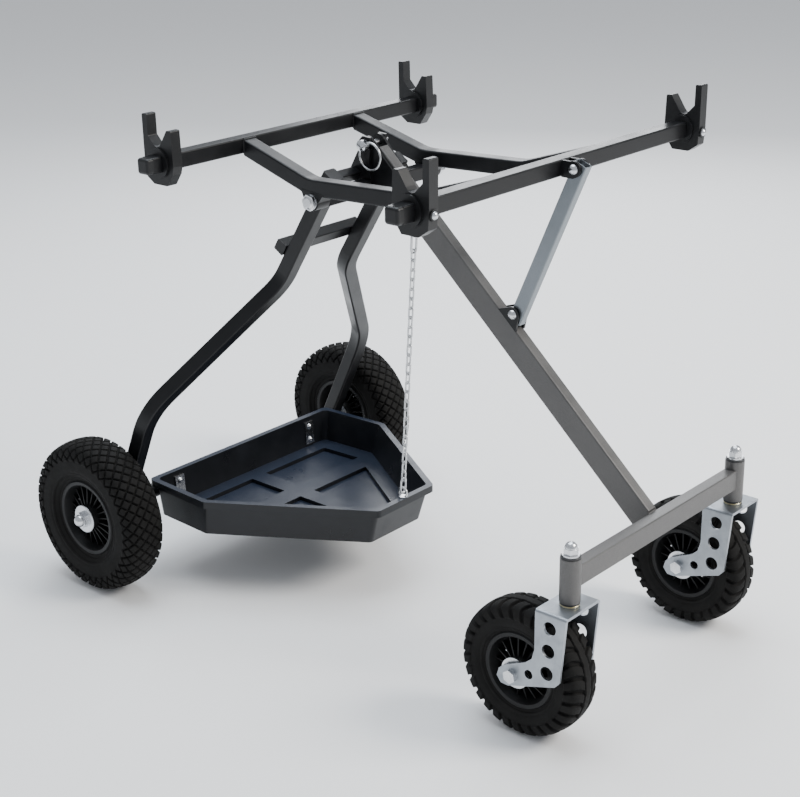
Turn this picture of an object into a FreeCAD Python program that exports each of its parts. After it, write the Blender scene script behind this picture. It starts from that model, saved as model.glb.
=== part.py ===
import FreeCAD, Part
import os, math
from FreeCAD import Vector as V

os.makedirs("parts", exist_ok=True)

# ---------------------------------------------------------------------------
# Folding kart trolley.  Units mm.  +Z up, +X across the trolley (towards its
# right-hand side seen from behind the casters), the casters are at -Y and the
# fixed wheels at +Y.  The origin is on the ground at the middle of the outline.
# ---------------------------------------------------------------------------
Y_SHIFT = 102.6            # layout Y of the origin

# top frame
BAR = 24.0                 # square section of both cross bars
BAR_WALL = 2.0
REAR_BAR_Y, REAR_BAR_Z, REAR_BAR_HALF = 304.0, 747.7, 330.0
FRONT_BAR_Y, FRONT_BAR_Z, FRONT_BAR_HALF = -203.5, 760.5, 360.0
CAP_LEN = 12.0
RAIL_X, RAIL_X_REAR, RAIL_W, RAIL_H = 130.0, 124.0, 25.0, 25.0
RAIL_LOW_REAR = (152.0, 703.5)
RAIL_LOW_FRONT = (-50.0, 711.5)
RAIL_BEND_R = 75.0

# main pivot
PIV_Y, PIV_Z = 145.0, 683.0
ROD_R = 7.0
PIVOT_SQ = 22.0

# front leg
LEG_ANGLE = 42.56          # degrees above the horizontal, towards the rear
LEG_N = 444.6              # distance of its axis from the layout origin
LEG_D, LEG_W, LEG_WALL = 40.0, 20.0, 2.0
LEG_END_T = 597.0

# strut
STRUT_LOW = (-132.0, 529.0)
STRUT_TOP = (-235.0, 761.0)
STRUT_D, STRUT_W, STRUT_OFF = 22.0, 15.5, 5.0

# caster cross bar
AX_Y, AX_Z, AX_H, AX_D = -389.5, 262.0, 32.0, 20.0
KING_X, KING_Y = 216.0, -389.5
SLEEVE_Z0, SLEEVE_Z1, SLEEVE_R = 226.0, 291.0, 15.0
CAST_Y, CAST_R = -322.6, 102.7
FORK_HALF, FORK_T, FORK_TOP = 40.0, 4.0, 219.6

# rear frame
RL_X, RL = 75.1, 25.0
RL_ANGLE = 32.14           # degrees from the vertical
RL_Y600 = 230.8            # layout Y of the leg axis at Z 600
RL_TOP_Z = 709.5
RL_BEND1_Z = 516.3
RL_BEND2 = (258.2, 418.4, 314.5)
RL_END = (254.0, 503.0)    # lower end on the axle tube, X and layout Y
RL_R1, RL_R2 = 70.7, 123.3
MB_HALF = 87.0            # half length of the middle cross bar
AXLE_Y, AXLE_Z, AXLE_R = 500.5, 130.0, 7.5
AXLE_TUBE_R, AXLE_TUBE_HALF = 12.5, 267.0
WHEEL_X, WHEEL_R, WHEEL_HALF_W = 311.0, 130.0, 38.0
LOCK_PIN = (146.0, 748.0)

# tray
TRAY_RIM_Z, TRAY_FLOOR_Z = 165.5, 99.0
TRAY_RIM = [(-217.0, 480.0), (-224.5, 337.0), (-68.5, 89.0),
            (68.5, 89.0), (224.5, 337.0), (217.0, 480.0)]

# chain
CHAIN_TOP = (66.0, 620.0)
CHAIN_END = (97.4, 173.0)
CHAIN_WIRE, CHAIN_PITCH, CHAIN_W = 1.5, 16.0, 10.5


def yy(v):
    return v - Y_SHIFT


def P3(x, y, z):
    return V(x, yy(y), z)


def save(name, shapes):
    if not isinstance(shapes, (list, tuple)):
        shapes = [shapes]
    solids = []
    for s in shapes:
        solids += s.Solids
    for s in solids:
        if not s.isValid():
            print("INVALID", name)
    out = solids[0] if len(solids) == 1 else Part.makeCompound(solids)
    out.exportStep("parts/%s.step" % name)
    b = out.BoundBox
    print("%-26s n=%d vol=%.0f  X %.1f..%.1f Y %.1f..%.1f Z %.1f..%.1f" % (
        name, len(solids), sum(s.Volume for s in solids),
        b.XMin, b.XMax, b.YMin, b.YMax, b.ZMin, b.ZMax))
    return out


def one(s):
    """Largest solid of a shape."""
    return max(s.removeSplitter().Solids, key=lambda q: q.Volume)


def cyl(r, p, d, length):
    return Part.makeCylinder(r, length, p, d)


def cyl_x(r, y, z, x0, x1):
    return Part.makeCylinder(r, x1 - x0, P3(x0, y, z), V(1, 0, 0))


def cyl_z(r, x, y, z0, z1):
    return Part.makeCylinder(r, z1 - z0, P3(x, y, z0), V(0, 0, 1))


def box(x0, x1, y0, y1, z0, z1):
    return Part.makeBox(x1 - x0, y1 - y0, z1 - z0, P3(x0, y0, z0))


def rect_wire(c, side, up, w, h, r):
    """Rounded rectangle centred on c in the plane of the unit vectors side, up."""
    hw, hh = w / 2.0, h / 2.0

    def q(a, b):
        return c + side * a + up * b
    e = []
    k = r * (1 - math.sqrt(0.5))
    pts = [(-hw + r, -hh), (hw - r, -hh), (hw, -hh + r), (hw, hh - r),
           (hw - r, hh), (-hw + r, hh), (-hw, hh - r), (-hw, -hh + r)]
    mids = [None, (hw - k, -hh + k), None, (hw - k, hh - k), None, (-hw + k, hh - k), None, (-hw + k, -hh + k)]
    for i in range(8):
        a, b = pts[i], pts[(i + 1) % 8]
        if mids[i] is None:
            e.append(Part.makeLine(q(*a), q(*b)))
        else:
            e.append(Part.Arc(q(*a), q(*mids[i]), q(*b)).toShape())
    return Part.Wire(e)


def prism(p0, p1, side, w, h, r):
    d = p1 - p0
    up = d.cross(side)
    up.normalize()
    f = Part.Face(rect_wire(p0, side, up, w, h, r))
    return f.extrude(d)


def tube(p0, p1, side, w, h, wall, r=2.5, closed0=0.0, closed1=0.0):
    """Hollow rectangular tube: w along side, h across; closedN leaves an end wall."""
    outer = prism(p0, p1, side, w, h, r)
    d = p1 - p0
    u = V(d)
    u.normalize()
    a = p0 + u * (closed0 if closed0 else -1.0)
    b = p1 - u * (closed1 if closed1 else -1.0)
    inner = prism(a, b, side, w - 2 * wall, h - 2 * wall, max(0.4, r - wall))
    return outer.cut(inner)


def path_with_arcs(pts, radii):
    """Wire of straight runs and tangent arcs through the inner points."""
    edges = []
    cur = pts[0]
    for i in range(1, len(pts) - 1):
        a = pts[i - 1] - pts[i]
        b = pts[i + 1] - pts[i]
        a.normalize()
        b.normalize()
        turn = math.pi - a.getAngle(b)
        t = radii[i - 1] * math.tan(turn / 2)
        s, e = pts[i] + a * t, pts[i] + b * t
        bis = a + b
        bis.normalize()
        m = pts[i] + bis * (radii[i - 1] / math.cos(turn / 2) - radii[i - 1])
        edges.append(Part.makeLine(cur, s))
        edges.append(Part.Arc(s, m, e).toShape())
        cur = e
    edges.append(Part.makeLine(cur, pts[-1]))
    return Part.Wire(edges)


def sweep(path, prof):
    return Part.Wire(path.Edges).makePipeShell([prof], True, False)


def bent_tube(pts, radii, side, w, h, wall, r):
    path = path_with_arcs([V(p) for p in pts], radii)
    d = pts[1] - pts[0]
    side = side - d * (side.dot(d) / d.dot(d))
    side.normalize()
    up = d.cross(side)
    up.normalize()
    outer = sweep(path, rect_wire(pts[0], side, up, w, h, r))
    inner = sweep(path, rect_wire(pts[0], side, up, w - 2 * wall, h - 2 * wall, max(0.4, r - wall)))
    res = outer.cut(inner)
    return res, outer


def poly_yz(pts, x0, x1):
    """Plate: closed polygon of layout (y, z) points between x0 and x1."""
    w = Part.makePolygon([P3(x0, a, b) for a, b in pts] + [P3(x0, pts[0][0], pts[0][1])])
    return Part.Face(w).extrude(V(x1 - x0, 0, 0))


def round_edges(s, r, test):
    es = [e for e in s.Edges if test(e)]
    if not es:
        return s
    try:
        f = s.makeFillet(r, es)
        if f.isValid() and f.Volume > 0.5 * s.Volume:
            return f
    except Exception as ex:
        print("fillet skipped", ex)
    return s


def along_x(e):
    if len(e.Vertexes) < 2:
        return False
    d = e.Vertexes[1].Point - e.Vertexes[0].Point
    return d.Length > 1e-6 and abs(d.x) / d.Length > 0.999


def hexagon(af, p, d, length, ref=V(0, 0, 1)):
    d = V(d)
    d.normalize()
    a = ref - d * ref.dot(d)
    if a.Length < 1e-6:
        a = V(0, 1, 0)
    a.normalize()
    b = d.cross(a)
    R = af / math.sqrt(3)
    pts = [p + a * (R * math.cos(math.radians(60 * i))) + b * (R * math.sin(math.radians(60 * i))) for i in range(7)]
    return Part.Face(Part.makePolygon(pts)).extrude(d * length)


def dome(r, h, p, d):
    """Low dome of base radius r and height h standing on p along d."""
    d = V(d)
    d.normalize()
    R = (r * r + h * h) / (2 * h)
    s = Part.makeSphere(R, p - d * (R - h))
    return s.common(Part.makeCylinder(r + 0.01, h + 0.01, p, d))


def revolve_x(profile, x, y, z):
    """Solid of revolution about the X line through (y, z); profile is (x, r)."""
    w = Part.makePolygon([P3(x + a, y, z + b) for a, b in profile] + [P3(x + profile[0][0], y, z + profile[0][1])])
    return Part.Face(w).revolve(P3(x, y, z), V(1, 0, 0), 360)


def tyre(x, y, z, crown, half_w, bead_r, bead_x):
    """Round-shouldered tyre with a hollow air space, as one ring."""
    s = []
    R, W = crown, half_w
    H = R - bead_r
    pts = [(-bead_x, bead_r), (-bead_x - 2, bead_r + 0.10 * H), (-W * 0.97, bead_r + 0.30 * H), (-W, bead_r + 0.47 * H),
           (-W * 0.985, bead_r + 0.66 * H), (-W * 0.88, bead_r + 0.86 * H), (-W * 0.58, bead_r + 0.96 * H), (0, R)]
    full = pts + [(-a, b) for a, b in reversed(pts[:-1])]
    vs = [P3(x + a, y, z + b) for a, b in full]
    sp = Part.BSplineCurve()
    sp.interpolate(vs)
    wire = Part.Wire([sp.toShape(), Part.makeLine(vs[-1], vs[0])])
    outer = Part.Face(wire).revolve(P3(x, y, z), V(1, 0, 0), 360)
    th = 8.0
    k = (W - th) / W
    ip = [(-(bead_x - 6) * 1.0, bead_r + 6), (-W * k * 0.97, bead_r + 0.34 * H), (-W * k, bead_r + 0.47 * H),
          (-W * k * 0.93, bead_r + 0.62 * H), (-W * k * 0.6, R - 11.5), (0, R - 9)]
    fi = ip + [(-a, b) for a, b in reversed(ip[:-1])]
    vi = [P3(x + a, y, z + b) for a, b in fi]
    si = Part.BSplineCurve()
    si.interpolate(vi)
    inner = Part.Face(Part.Wire([si.toShape(), Part.makeLine(vi[-1], vi[0])])).revolve(P3(x, y, z), V(1, 0, 0), 360)
    return outer.cut(inner)


XD = V(1, 0, 0)
YD = V(0, 1, 0)
ZD = V(0, 0, 1)

# ---------------------------------------------------------------------------
# Top frame
# ---------------------------------------------------------------------------
def cross_bar(y, z, half):
    L = half - CAP_LEN
    return tube(P3(-L, y, z), P3(L, y, z), V(0, 1, 0), BAR, BAR, BAR_WALL, 2.5)


def bar_cap(y, z, half, sgn):
    L = half - CAP_LEN
    head = prism(P3(sgn * L, y, z), P3(sgn * half, y, z), V(0, 1, 0), BAR, BAR, 4.6)
    tip = [e for e in head.Edges if abs(e.CenterOfMass.x - sgn * half) < 0.01]
    try:
        head = head.makeFillet(4.4, tip)
    except Exception as ex:
        print("cap fillet", ex)
    plug = prism(P3(sgn * (L - 14), y, z), P3(sgn * L, y, z), V(0, 1, 0), BAR - 2 * BAR_WALL, BAR - 2 * BAR_WALL, 0.5)
    return one(head.fuse(plug))


rear_bar = cross_bar(REAR_BAR_Y, REAR_BAR_Z, REAR_BAR_HALF)
front_bar = cross_bar(FRONT_BAR_Y, FRONT_BAR_Z, FRONT_BAR_HALF)
save("rear_bar", rear_bar)
save("front_bar", front_bar)
save("bar_end_caps", [bar_cap(REAR_BAR_Y, REAR_BAR_Z, REAR_BAR_HALF, s) for s in (-1, 1)] +
     [bar_cap(FRONT_BAR_Y, FRONT_BAR_Z, FRONT_BAR_HALF, s) for s in (-1, 1)])

rails = []
for s in (-1, 1):
    pts = [P3(s * RAIL_X_REAR, REAR_BAR_Y, REAR_BAR_Z), P3(s * RAIL_X, *RAIL_LOW_REAR),
           P3(s * RAIL_X, *RAIL_LOW_FRONT), P3(s * RAIL_X, FRONT_BAR_Y, FRONT_BAR_Z)]
    rail, ro = bent_tube(pts, [RAIL_BEND_R, RAIL_BEND_R], XD, RAIL_W, RAIL_H, 2.0, 3.0)
    # mitred flush against the bars' inner faces
    keep = box(-400, 400, FRONT_BAR_Y + BAR / 2, REAR_BAR_Y - BAR / 2, 600, 900)
    rails.append(one(rail.common(keep)))
save("side_rails", rails)

LUG_X = 143.0
lugs = []
for s in (-1, 1):
    x0, x1 = (117.0, LUG_X) if s > 0 else (-LUG_X, -117.0)
    body = cyl_x(14.0, PIV_Y, PIV_Z, x0, x1).fuse(poly_yz([(PIV_Y - 14, PIV_Z), (PIV_Y + 14, PIV_Z), (PIV_Y + 22, 700.0), (PIV_Y - 24, 696.0)], x0, x1))
    outer_rail = bent_tube([P3(s * RAIL_X_REAR, REAR_BAR_Y, REAR_BAR_Z), P3(s * RAIL_X, *RAIL_LOW_REAR),
                            P3(s * RAIL_X, *RAIL_LOW_FRONT), P3(s * RAIL_X, FRONT_BAR_Y, FRONT_BAR_Z)],
                           [RAIL_BEND_R, RAIL_BEND_R], XD, RAIL_W, RAIL_H, 2.0, 3.0)[1]
    body = one(body.cut(outer_rail).cut(cyl_x(ROD_R, PIV_Y, PIV_Z, x0 - 1, x1 + 1)))
    lugs.append(body)
save("pivot_lugs", lugs)

# pivot bolt: long rod, hex head, nut and washers
hx0 = LUG_X + 2.2
rod = cyl_x(ROD_R, PIV_Y, PIV_Z, -hx0, hx0 + 10.8)
head = hexagon(22.0, P3(-hx0, PIV_Y, PIV_Z), V(-1, 0, 0), 8.0, V(0, 0.3, 1))
head = head.common(dome(13.2, 10.0, P3(-hx0, PIV_Y, PIV_Z), V(-1, 0, 0)).fuse(cyl_x(13.2, PIV_Y, PIV_Z, -hx0 - 5.8, -hx0)))
bolt = one(rod.fuse(head))
wl = cyl_x(12.0, PIV_Y, PIV_Z, -hx0, -LUG_X).cut(cyl_x(ROD_R, PIV_Y, PIV_Z, -160, -130))
wr = cyl_x(12.0, PIV_Y, PIV_Z, LUG_X, hx0).cut(cyl_x(ROD_R, PIV_Y, PIV_Z, 130, 160))
nut = hexagon(22.0, P3(hx0, PIV_Y, PIV_Z), XD, 11.0, V(0, 0.3, 1)).cut(cyl_x(ROD_R, PIV_Y, PIV_Z, 130, 170))
save("pivot_bolt", [bolt, wl, wr, nut])

# ---------------------------------------------------------------------------
# Front leg and its pivot cheeks
# ---------------------------------------------------------------------------
ca, sa = math.cos(math.radians(LEG_ANGLE)), math.sin(math.radians(LEG_ANGLE))


def leg_pt(t, n, x=0.0):
    """Point t along and n above the front leg's axis."""
    return P3(x, ca * t - sa * (LEG_N + n), sa * t + ca * (LEG_N + n))


def leg_yz(t, n):
    return (ca * t - sa * (LEG_N + n), sa * t + ca * (LEG_N + n))


leg = tube(leg_pt(-160, 0), leg_pt(LEG_END_T, 0), XD, LEG_W, LEG_D, LEG_WALL, 2.5, closed1=2.0)
leg = leg.cut(box(-50, 50, -900, AX_Y + AX_D / 2, -100, 900))
leg = leg.cut(cyl_x(42.5, PIV_Y, PIV_Z, -30, 30))
leg = leg.cut(box(-50, 50, -900, 900, -100, AX_Z - AX_H / 2))    # foot trimmed level with the bar's underside
front_leg = one(leg)
save("front_leg", front_leg)

pn = -sa * PIV_Y + ca * PIV_Z - LEG_N
pt = ca * PIV_Y + sa * PIV_Z
lp_n = -sa * LOCK_PIN[0] + ca * LOCK_PIN[1] - LEG_N
lp_t = ca * LOCK_PIN[0] + sa * LOCK_PIN[1]
cheeks = []
for s in (-1, 1):
    x0, x1 = (10.0, 15.0) if s > 0 else (-15.0, -10.0)
    plate = poly_yz([leg_yz(500, -15), leg_yz(500, 15), leg_yz(585, 17), (LOCK_PIN[0] - 12.0, LOCK_PIN[1] + 6.0),
                     (LOCK_PIN[0] + 10.0, LOCK_PIN[1] - 8.0), (PIV_Y + 3.0, PIV_Z + 44.0), (PIV_Y + 2.0, PIV_Z + 40.0),
                     (PIV_Y + 2.0, PIV_Z + 12.0), (PIV_Y + 4.0, PIV_Z + 4.0), (PIV_Y - 4.0, PIV_Z - 12.0)], x0, x1)
    plate = plate.fuse(cyl_x(13.0, PIV_Y, PIV_Z, x0, x1)).fuse(cyl_x(12.5, LOCK_PIN[0], LOCK_PIN[1], x0, x1))
    plate = plate.cut(cyl_x(ROD_R, PIV_Y, PIV_Z, x0 - 1, x1 + 1)).cut(cyl_x(5.05, LOCK_PIN[0], LOCK_PIN[1], x0 - 1, x1 + 1))
    cheeks.append(one(plate))
save("leg_cheeks", cheeks)

# tab under the front leg that carries the chain
tab_pts = [leg_yz(452.0, -LEG_D / 2), leg_yz(486.0, -LEG_D / 2)]
tab = poly_yz([tab_pts[0], tab_pts[1], (CHAIN_TOP[0] + 8.0, CHAIN_TOP[1]), (CHAIN_TOP[0] - 8.0, CHAIN_TOP[1])], -1.5, 1.5)
tab = tab.fuse(cyl_x(8.5, CHAIN_TOP[0], CHAIN_TOP[1], -1.5, 1.5)).cut(cyl_x(5.0, CHAIN_TOP[0], CHAIN_TOP[1], -3, 3))
legbody = prism(leg_pt(300, 0), leg_pt(LEG_END_T, 0), XD, LEG_W, LEG_D, 2.5)
save("chain_anchor", one(tab.cut(legbody)))

# ---------------------------------------------------------------------------
# Strut between the front leg and the front bar
# ---------------------------------------------------------------------------
lo, hi = P3(0, *STRUT_LOW), P3(0, *STRUT_TOP)
u = hi - lo
u.normalize()
fwd = V(0, -u.z, u.y) * STRUT_OFF
strut = tube(lo - u * 11 + fwd, hi + u * 11 + fwd, XD, STRUT_W, STRUT_D, 1.5, 2.0)
for c in (STRUT_LOW, STRUT_TOP):
    strut = strut.cut(cyl_x(4.0, c[0], c[1], -20, 20))
save("strut_tube", one(strut))

EAR_X = STRUT_W / 2 + 0.3
ears = []
for s in (-1, 1):
    x0, x1 = (EAR_X, EAR_X + 4.0) if s > 0 else (-EAR_X - 4.0, -EAR_X)
    t_low = ca * STRUT_LOW[0] + sa * STRUT_LOW[1]
    lowear = poly_yz([leg_yz(t_low - 22, 20), leg_yz(t_low + 22, 20), leg_yz(t_low + 10, 41), leg_yz(t_low - 10, 41)], x0, x1)
    lowear = lowear.fuse(cyl_x(12.0, STRUT_LOW[0], STRUT_LOW[1], x0, x1).cut(
        poly_yz([leg_yz(t_low - 40, 20), leg_yz(t_low + 40, 20), leg_yz(t_low + 40, -20), leg_yz(t_low - 40, -20)], x0 - 1, x1 + 1)))
    legskin = prism(leg_pt(-100, 0), leg_pt(LEG_END_T, 0), XD, LEG_W, LEG_D, 2.5)
    lowear = lowear.cut(cyl_x(4.0, STRUT_LOW[0], STRUT_LOW[1], -20, 20)).cut(legskin)
    ears.append(one(lowear))
    fy = FRONT_BAR_Y - BAR / 2
    upear = box(x0, x1, STRUT_TOP[0], fy, STRUT_TOP[1] - 13, STRUT_TOP[1] + 11).fuse(cyl_x(12.0, STRUT_TOP[0], STRUT_TOP[1], x0, x1))
    upear = upear.cut(cyl_x(4.0, STRUT_TOP[0], STRUT_TOP[1], -20, 20)).cut(
        prism(P3(-60, FRONT_BAR_Y, FRONT_BAR_Z), P3(60, FRONT_BAR_Y, FRONT_BAR_Z), V(0, 1, 0), BAR, BAR, 2.5))
    ears.append(one(upear))
save("strut_ears", ears)

sb = []
for c in (STRUT_LOW, STRUT_TOP):
    xo = EAR_X + 4.0
    b = cyl_x(4.0, c[0], c[1], -xo, xo + 9.5).fuse(dome(7.5, 5.0, P3(-xo, c[0], c[1]), V(-1, 0, 0)))
    sb.append(one(b))
    sb.append(hexagon(13.0, P3(xo, c[0], c[1]), XD, 7.5).cut(cyl_x(4.0, c[0], c[1], 0, 40)))
save("strut_bolts", sb)

# ---------------------------------------------------------------------------
# Caster cross bar, kingpin sleeves and bushes
# ---------------------------------------------------------------------------
axle_bar = tube(P3(-KING_X, AX_Y, AX_Z), P3(KING_X, AX_Y, AX_Z), V(0, 1, 0), AX_D, AX_H, 2.0, 2.0)
for s in (-1, 1):
    axle_bar = axle_bar.cut(cyl_z(SLEEVE_R, s * KING_X, KING_Y, 100, 400))
axle_bar = one(axle_bar)
save("caster_bar", axle_bar)
sleeves, bushes = [], []
for s in (-1, 1):
    sl = cyl_z(SLEEVE_R, s * KING_X, KING_Y, SLEEVE_Z0, SLEEVE_Z1).cut(cyl_z(9.0, s * KING_X, KING_Y, 200, 320))
    sleeves.append(sl)
    for z0, z1, f0, f1 in ((SLEEVE_Z1 - 16, SLEEVE_Z1, SLEEVE_Z1, SLEEVE_Z1 + 3.0), (SLEEVE_Z0, SLEEVE_Z0 + 16, SLEEVE_Z0 - 3.0, SLEEVE_Z0)):
        b = cyl_z(9.0, s * KING_X, KING_Y, z0, z1).fuse(cyl_z(14.2, s * KING_X, KING_Y, f0, f1))
        bushes.append(one(b.cut(cyl_z(6.05, s * KING_X, KING_Y, 200, 320))))
save("kingpin_sleeves", sleeves)
save("kingpin_bushes", bushes)

# ---------------------------------------------------------------------------
# Cradles: forked plates that slide on the bars and are clamped by a screw
# ---------------------------------------------------------------------------
CR_T = 18.0


def cradle(x, by, bz, out):
    """Cradle centred on x; out is +1 where the tall prong is on the +Y side."""
    x0, x1 = x - CR_T / 2, x + CR_T / 2

    def m(a, b):
        return (by + out * a, bz + b)
    prof = [m(32.5, 70), m(22, 70), m(21.5, 38), m(8.5, 24.5), m(4.0, 22.8), m(-2.0, 24.5), m(-6.0, 29.5),
            m(-19.5, 50), m(-28.5, 50), m(-30.5, -3), m(-28.0, -14), m(-15.0, -33), m(14, -33), m(30, -22), m(32.0, 4)]
    s = poly_yz(prof, x0, x1)
    s = s.fuse(cyl_x(22.0, by, bz, x0 - 4.0, x1 + 4.0))
    # boss for the clamp screw on the tall prong's side
    s = s.fuse(Part.makeCylinder(8.0, 8.0, P3(x, by + out * 26.0, bz - 3.0), V(0, out, 0)))
    bore = prism(P3(x0 - 5, by, bz), P3(x1 + 5, by, bz), V(0, 1, 0), BAR + 0.3, BAR + 0.3, 2.0)
    s = s.cut(bore)
    s = s.cut(Part.makeCylinder(3.0, 30.0, P3(x, by + out * 10.0, bz - 3.0), V(0, out, 0)))
    s = one(s)

    def edge_ok(e):
        if not along_x(e):
            return False
        c = e.CenterOfMass
        dy, dz = abs(c.y + Y_SHIFT - by), c.z - bz
        return (dz > 20 or dz < -12) and e.Length > 16
    return round_edges(s, 2.4, edge_ok)


def cradle_screw(x, by, bz, out):
    a = by + out * (BAR / 2 + 0.3)
    s = Part.makeCylinder(3.0, 34.2 - (BAR / 2 + 0.3), P3(x, a, bz - 3.0), V(0, out, 0))
    h = dome(5.6, 3.6, P3(x, by + out * 34.2, bz - 3.0), V(0, out, 0))
    return one(s.fuse(h))


cradles = (("rear_left", -288.0, REAR_BAR_Y, REAR_BAR_Z, 1), ("rear_right", 287.0, REAR_BAR_Y, REAR_BAR_Z, 1),
           ("front_left", -314.0, FRONT_BAR_Y, FRONT_BAR_Z, -1), ("front_right", 329.0, FRONT_BAR_Y, FRONT_BAR_Z, -1))
for nm, x, by, bz, out in cradles:
    save("cradle_" + nm, cradle(x, by, bz, out))
    save("cradle_screw_" + nm, cradle_screw(x, by, bz, out))

# ---------------------------------------------------------------------------
# Rear frame
# ---------------------------------------------------------------------------
tr = math.tan(math.radians(RL_ANGLE))
cr_, sr_ = math.cos(math.radians(RL_ANGLE)), math.sin(math.radians(RL_ANGLE))


def rl_y(z):
    return RL_Y600 - (z - 600.0) * tr


UPL = (-sr_, cr_)          # up along the leg, in (y, z)
NRL = (cr_, sr_)           # rearward normal of the leg, in (y, z)

legs, outers = [], []
axle_cyl = cyl_x(AXLE_TUBE_R, AXLE_Y, AXLE_Z, -AXLE_TUBE_HALF, AXLE_TUBE_HALF)
for s in (-1, 1):
    pts = [P3(s * RL_X, rl_y(RL_TOP_Z - 2.5), RL_TOP_Z - 2.5), P3(s * RL_X, rl_y(RL_BEND1_Z), RL_BEND1_Z),
           P3(s * RL_BEND2[0], RL_BEND2[1], RL_BEND2[2]), P3(s * RL_END[0], RL_END[1], AXLE_Z)]
    t, o = bent_tube(pts, [RL_R1, RL_R2], XD, RL, RL, 2.0, 3.0)
    legs.append(one(t.cut(axle_cyl)))
    outers.append(o)
save("rear_leg_left", legs[0])
save("rear_leg_right", legs[1])

caps = []
for s in (-1, 1):
    z0 = RL_TOP_Z - 2.5
    p0 = P3(s * RL_X, rl_y(z0), z0)
    ul = V(0, UPL[0], UPL[1])
    plate = prism(p0, p0 + ul * 3.0, XD, RL, RL, 3.0)
    plug = prism(p0 - ul * 12.0, p0, XD, RL - 4.0, RL - 4.0, 1.0)
    caps.append(one(plate.fuse(plug)))

# square pivot tubes with a saddle pad that sits on each leg's front face
ptubes = []
for s in (-1, 1):
    x0, x1 = (20.8, 113.5) if s > 0 else (-113.5, -20.8)
    q = prism(P3(x0, PIV_Y, PIV_Z), P3(x1, PIV_Y, PIV_Z), V(0, 1, 0), PIVOT_SQ, PIVOT_SQ, 2.0)
    # pad between the tube and the leg
    zc = RL_TOP_Z
    k = (PIV_Y - RL_Y600) * UPL[0] + (PIV_Z - 600.0) * UPL[1]
    base = (RL_Y600 + UPL[0] * k, 600.0 + UPL[1] * k)
    f0 = (base[0] - NRL[0] * RL / 2, base[1] - NRL[1] * RL / 2)
    pad = poly_yz([(f0[0] + UPL[0] * 11, f0[1] + UPL[1] * 11), (f0[0] - UPL[0] * 11, f0[1] - UPL[1] * 11),
                   (f0[0] - UPL[0] * 7 - NRL[0] * 9, f0[1] - UPL[1] * 7 - NRL[1] * 9),
                   (f0[0] + UPL[0] * 7 - NRL[0] * 9, f0[1] + UPL[1] * 7 - NRL[1] * 9)],
                  s * RL_X - 9.0, s * RL_X + 9.0)
    q = q.fuse(pad).cut(cyl_x(ROD_R + 0.05, PIV_Y, PIV_Z, -200, 200))
    ptubes.append(one(q))
save("pivot_tubes", ptubes)

# lock cross bar between the tops of the legs, and the two hook plates on it
LKB = 16.0
kc = RL_TOP_Z - 600.0
lk = (rl_y(RL_TOP_Z) - UPL[0] * 9.5, RL_TOP_Z - UPL[1] * 9.5)
half = RL_X - RL / 2
side = V(0, NRL[0], NRL[1])
lock_bar_outer = prism(P3(-half, *lk), P3(half, *lk), side, LKB, LKB, 1.5)
lock_bar = lock_bar_outer.cut(prism(P3(-half - 1, *lk), P3(half + 1, *lk), side, LKB - 4, LKB - 4, 0.5))
save("lock_crossbar", one(lock_bar))

hooks = []
pr = math.hypot(LOCK_PIN[0] - PIV_Y, LOCK_PIN[1] - PIV_Z)
for s in (-1, 1):
    x0, x1 = (15.6, 20.2) if s > 0 else (-20.2, -15.6)
    h = poly_yz([(PIV_Y + 12, PIV_Z - 4), (PIV_Y - 10, PIV_Z + 10), (PIV_Y - 6, PIV_Z + 40), (LOCK_PIN[0] - 9, LOCK_PIN[1] - 9),
                 (LOCK_PIN[0] - 9, LOCK_PIN[1] + 12), (LOCK_PIN[0] + 6, LOCK_PIN[1] + 13), (LOCK_PIN[0] + 13, LOCK_PIN[1] + 6),
                 (LOCK_PIN[0] + 14, LOCK_PIN[1] - 8), (PIV_Y + 34, PIV_Z + 24), (PIV_Y + 34, PIV_Z + 12)], x0, x1)
    h = h.fuse(cyl_x(14.0, PIV_Y, PIV_Z, x0, x1))
    # notch for the lock pin, open towards the front along the arc about the pivot
    band = cyl_x(pr + 5.4, PIV_Y, PIV_Z, x0 - 1, x1 + 1).cut(cyl_x(pr - 5.4, PIV_Y, PIV_Z, x0 - 2, x1 + 2))
    band = band.common(box(x0 - 1, x1 + 1, LOCK_PIN[0] - 80, LOCK_PIN[0], LOCK_PIN[1] - 60, LOCK_PIN[1] + 30))
    h = h.cut(cyl_x(5.4, LOCK_PIN[0], LOCK_PIN[1], x0 - 1, x1 + 1)).cut(band)
    h = h.cut(cyl_x(ROD_R + 0.05, PIV_Y, PIV_Z, x0 - 1, x1 + 1)).cut(lock_bar_outer)
    hooks.append(one(h))
save("lock_hooks", hooks)

# middle cross bar on the legs' rear faces, with plastic end caps
mc = (272.5 - 10 * NRL[0] - 10 * UPL[0], 594.0 - 10 * NRL[1] - 10 * UPL[1])
dist = (mc[0] - RL_Y600) * NRL[0] + (mc[1] - 600.0) * NRL[1]
mc = (mc[0] + (22.5 - dist) * NRL[0], mc[1] + (22.5 - dist) * NRL[1])
mb = prism(P3(-MB_HALF, *mc), P3(MB_HALF, *mc), side, 20, 20, 2.0).cut(prism(P3(-MB_HALF - 2, *mc), P3(MB_HALF + 2, *mc), side, 16, 16, 0.5))
save("middle_crossbar", one(mb))
for s in (-1, 1):
    plate = prism(P3(s * MB_HALF, *mc), P3(s * (MB_HALF + 3), *mc), side, 20, 20, 2.0)
    plug = prism(P3(s * (MB_HALF - 12), *mc), P3(s * MB_HALF, *mc), side, 16, 16, 0.5)
    caps.append(one(plate.fuse(plug)))
save("tube_caps", caps)

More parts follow.
